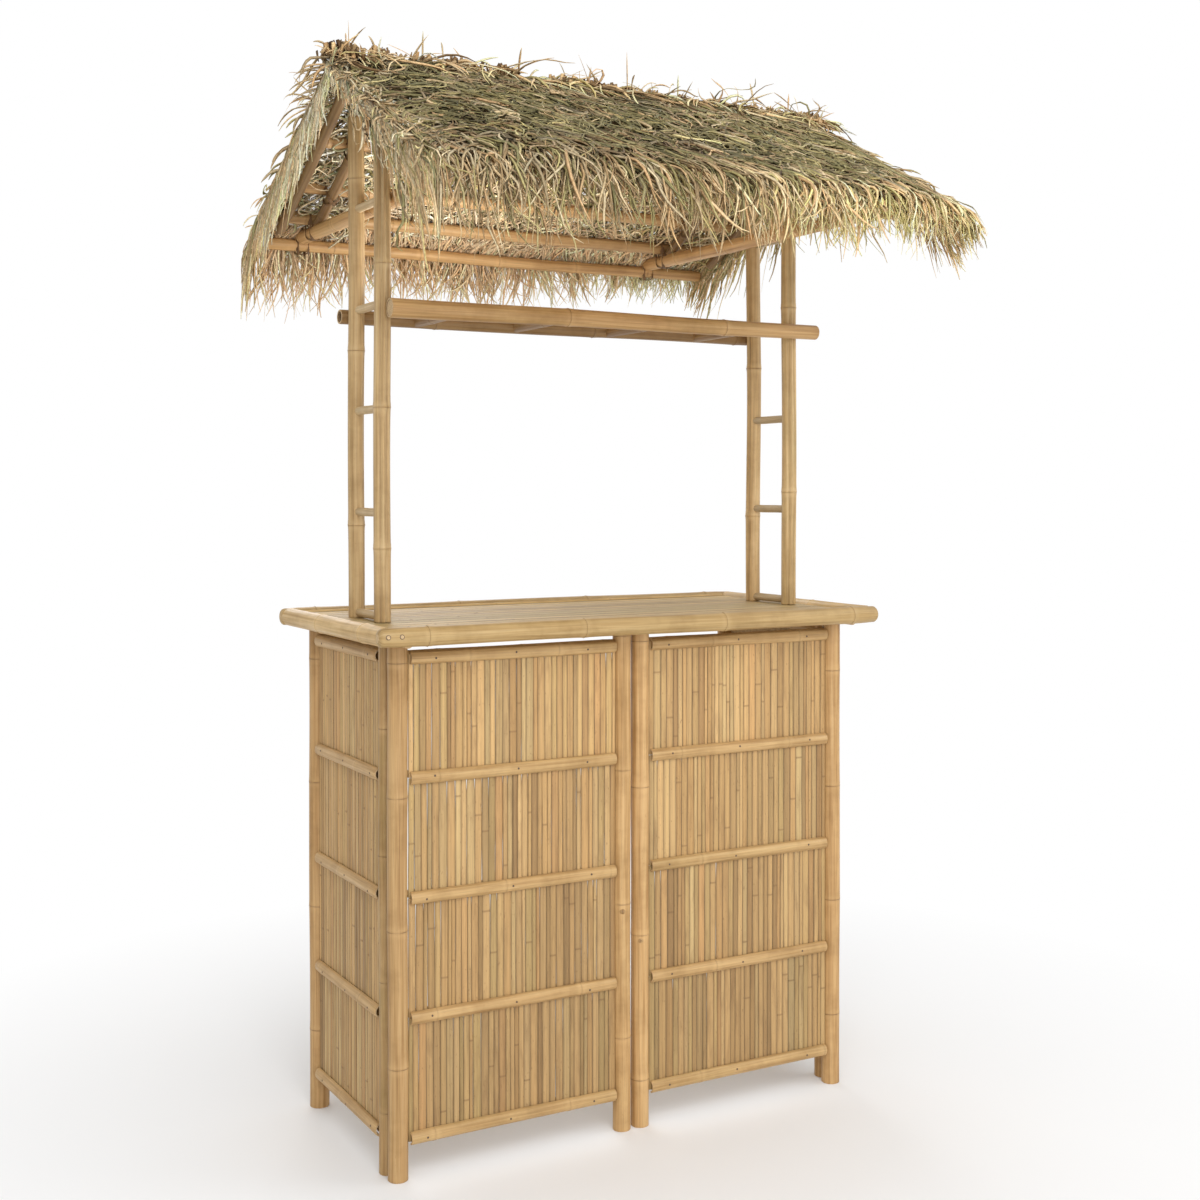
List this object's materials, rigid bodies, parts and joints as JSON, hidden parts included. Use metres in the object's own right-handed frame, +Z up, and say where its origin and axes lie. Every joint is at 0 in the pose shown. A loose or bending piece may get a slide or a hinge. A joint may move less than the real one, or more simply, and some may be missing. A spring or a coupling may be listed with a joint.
{
  "type": "tiki bar hut",
  "caption": "Free-standing bamboo bar with a slatted base, a counter, two ladders that carry a rack, and a gabled straw roof.",
  "frame": {"origin": "on the ground under the middle of the roof, midway between the front and back posts", "axes": "+Z up, +Y towards the open back where the bartender stands, +X to the right seen from the front"},
  "size_m": [1.29, 1.153, 2.3091],
  "materials": {
    "bamboo_pole": "satin natural bamboo skin with joint rings",
    "split_bamboo": "satin split bamboo strips in mixed tan, olive and brown",
    "roof_bamboo": "satin browner bamboo with dark joints",
    "straw": "matte dry straw, tan to grey olive",
    "cut_bamboo": "matte sawn ends and dowels",
    "rattan_lashing": "satin split rattan",
    "nail": "dull dark small nail heads"
  },
  "bodies": {
    "root": {"post_front_left": "bamboo_pole", "post_middle_left": "bamboo_pole", "post_middle_right": "bamboo_pole", "post_front_right": "bamboo_pole", "post_side_left_front": "bamboo_pole", "post_side_left_back": "bamboo_pole", "post_side_right_front": "bamboo_pole", "post_side_right_back": "bamboo_pole", "rail_front_left_1": "bamboo_pole", "rail_front_left_2": "bamboo_pole", "rail_front_left_3": "bamboo_pole", "rail_front_left_4": "bamboo_pole", "rail_front_left_5": "bamboo_pole", "rail_front_right_1": "bamboo_pole", "rail_front_right_2": "bamboo_pole", "rail_front_right_3": "bamboo_pole", "rail_front_right_4": "bamboo_pole", "rail_front_right_5": "bamboo_pole", "rail_side_left_1": "bamboo_pole", "rail_side_left_2": "bamboo_pole", "rail_side_left_3": "bamboo_pole", "rail_side_left_4": "bamboo_pole", "rail_side_left_5": "bamboo_pole", "rail_side_right_1": "bamboo_pole", "rail_side_right_2": "bamboo_pole", "rail_side_right_3": "bamboo_pole", "rail_side_right_4": "bamboo_pole", "rail_side_right_5": "bamboo_pole", "counter_pole_front": "bamboo_pole", "counter_pole_back": "bamboo_pole", "counter_pole_left": "bamboo_pole", "counter_pole_right": "bamboo_pole", "counter_bearer_left": "bamboo_pole", "counter_bearer_right": "bamboo_pole", "ladder_left_upright_front": "bamboo_pole", "ladder_left_upright_back": "bamboo_pole", "ladder_right_upright_front": "bamboo_pole", "ladder_right_upright_back": "bamboo_pole", "rack_pole_front": "bamboo_pole", "rack_pole_back": "bamboo_pole", "rack_bar_1": "bamboo_pole", "rack_bar_2": "bamboo_pole", "rack_bar_3": "bamboo_pole", "rack_bar_4": "bamboo_pole", "slats_front_left": "split_bamboo", "slats_front_right": "split_bamboo", "slats_side_left": "split_bamboo", "slats_side_right": "split_bamboo", "counter_bed": "split_bamboo", "tie_beam_left": "roof_bamboo", "tie_beam_right": "roof_bamboo", "eave_pole_front": "roof_bamboo", "eave_pole_back": "roof_bamboo", "ridge_pole": "roof_bamboo", "roof_lattice_front": "roof_bamboo", "roof_lattice_back": "roof_bamboo", "thatch_front": "straw", "thatch_back": "straw", "thatch_ridge_cap": "straw"}
  },
  "joints": []
}
